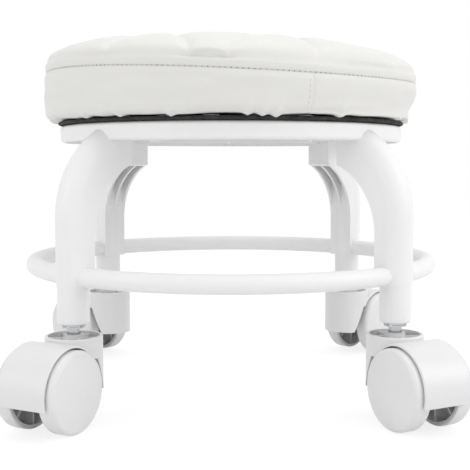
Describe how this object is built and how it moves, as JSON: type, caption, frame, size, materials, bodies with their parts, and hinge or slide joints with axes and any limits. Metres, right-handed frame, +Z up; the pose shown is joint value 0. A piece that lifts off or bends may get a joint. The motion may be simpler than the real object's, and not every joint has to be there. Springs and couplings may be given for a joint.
{
  "type": "low rolling stool",
  "caption": "Low round stool with a tufted padded seat on a moulded frame with curved legs, a foot ring and hooded twin-wheel swivel casters.",
  "frame": {"origin": "on the floor, under the middle of the round seat", "axes": "+Z up, front towards -Y, legs on the diagonals"},
  "size_m": [0.299, 0.303, 0.2481],
  "materials": {
    "white_frame_plastic": "white moulded polypropylene with a fine satin skin",
    "white_caster_plastic": "smooth white moulded nylon",
    "white_leather": "white coated synthetic leather, sewn and tufted",
    "under_cloth": "black non-woven dust cloth",
    "foam": "cut polyurethane foam",
    "plywood": "raw plywood",
    "chromed_steel": "bright plated steel",
    "zinc_steel": "zinc-plated steel"
  },
  "bodies": {
    "stool": {"moulded_frame": "white_frame_plastic", "dust_cloth": "under_cloth", "seat_board": "plywood", "seat_screws": "zinc_steel", "staples": "zinc_steel", "seat_foam": "foam", "cover_side_band": "white_leather", "cover_top_panel": "white_leather", "caster_front_left_stem": "chromed_steel", "caster_front_left_grip_ring": "zinc_steel", "caster_front_left_stem_clip": "zinc_steel", "caster_front_right_stem": "chromed_steel", "caster_front_right_grip_ring": "zinc_steel", "caster_front_right_stem_clip": "zinc_steel", "caster_rear_right_stem": "chromed_steel", "caster_rear_right_grip_ring": "zinc_steel", "caster_rear_right_stem_clip": "zinc_steel", "caster_rear_left_stem": "chromed_steel", "caster_rear_left_grip_ring": "zinc_steel", "caster_rear_left_stem_clip": "zinc_steel"},
    "front_left_swivel": {"caster_front_left_hood": "white_caster_plastic", "caster_front_left_axle": "zinc_steel"},
    "front_left_wheel_left": {"caster_front_left_wheel_left": "white_caster_plastic"},
    "front_left_wheel_right": {"caster_front_left_wheel_right": "white_caster_plastic"},
    "front_right_swivel": {"caster_front_right_hood": "white_caster_plastic", "caster_front_right_axle": "zinc_steel"},
    "front_right_wheel_left": {"caster_front_right_wheel_left": "white_caster_plastic"},
    "front_right_wheel_right": {"caster_front_right_wheel_right": "white_caster_plastic"},
    "rear_right_swivel": {"caster_rear_right_hood": "white_caster_plastic", "caster_rear_right_axle": "zinc_steel"},
    "rear_right_wheel_left": {"caster_rear_right_wheel_left": "white_caster_plastic"},
    "rear_right_wheel_right": {"caster_rear_right_wheel_right": "white_caster_plastic"},
    "rear_left_swivel": {"caster_rear_left_hood": "white_caster_plastic", "caster_rear_left_axle": "zinc_steel"},
    "rear_left_wheel_left": {"caster_rear_left_wheel_left": "white_caster_plastic"},
    "rear_left_wheel_right": {"caster_rear_left_wheel_right": "white_caster_plastic"}
  },
  "joints": [
    {"name": "front_left_swivel", "type": "hinge", "parent": "stool", "child": "front_left_swivel", "pos_m": [-0.1, -0.1, 0.0537], "axis": [0, 0, 1], "continuous": true},
    {"name": "front_left_left_roll", "type": "hinge", "parent": "front_left_swivel", "child": "front_left_wheel_left", "pos_m": [-0.11169, -0.12153, 0.025], "axis": [0.8788, -0.4772, 0], "continuous": true},
    {"name": "front_left_right_roll", "type": "hinge", "parent": "front_left_swivel", "child": "front_left_wheel_right", "pos_m": [-0.11169, -0.12153, 0.025], "axis": [0.8788, -0.4772, 0], "continuous": true},
    {"name": "front_right_swivel", "type": "hinge", "parent": "stool", "child": "front_right_swivel", "pos_m": [0.1, -0.1, 0.0537], "axis": [0, 0, 1], "continuous": true},
    {"name": "front_right_left_roll", "type": "hinge", "parent": "front_right_swivel", "child": "front_right_wheel_left", "pos_m": [0.11055, -0.12211, 0.025], "axis": [0.9026, 0.4305, 0], "continuous": true},
    {"name": "front_right_right_roll", "type": "hinge", "parent": "front_right_swivel", "child": "front_right_wheel_right", "pos_m": [0.11055, -0.12211, 0.025], "axis": [0.9026, 0.4305, 0], "continuous": true},
    {"name": "rear_right_swivel", "type": "hinge", "parent": "stool", "child": "rear_right_swivel", "pos_m": [0.1, 0.1, 0.0537], "axis": [0, 0, 1], "continuous": true},
    {"name": "rear_right_left_roll", "type": "hinge", "parent": "rear_right_swivel", "child": "rear_right_wheel_left", "pos_m": [0.11732, 0.11732, 0.025], "axis": [-0.7071, 0.7071, 0], "continuous": true},
    {"name": "rear_right_right_roll", "type": "hinge", "parent": "rear_right_swivel", "child": "rear_right_wheel_right", "pos_m": [0.11732, 0.11732, 0.025], "axis": [-0.7071, 0.7071, 0], "continuous": true},
    {"name": "rear_left_swivel", "type": "hinge", "parent": "stool", "child": "rear_left_swivel", "pos_m": [-0.1, 0.1, 0.0537], "axis": [0, 0, 1], "continuous": true},
    {"name": "rear_left_left_roll", "type": "hinge", "parent": "rear_left_swivel", "child": "rear_left_wheel_left", "pos_m": [-0.11792, 0.11671, 0.025], "axis": [-0.682, -0.7314, 0], "continuous": true},
    {"name": "rear_left_right_roll", "type": "hinge", "parent": "rear_left_swivel", "child": "rear_left_wheel_right", "pos_m": [-0.11792, 0.11671, 0.025], "axis": [-0.682, -0.7314, 0], "continuous": true}
  ]
}
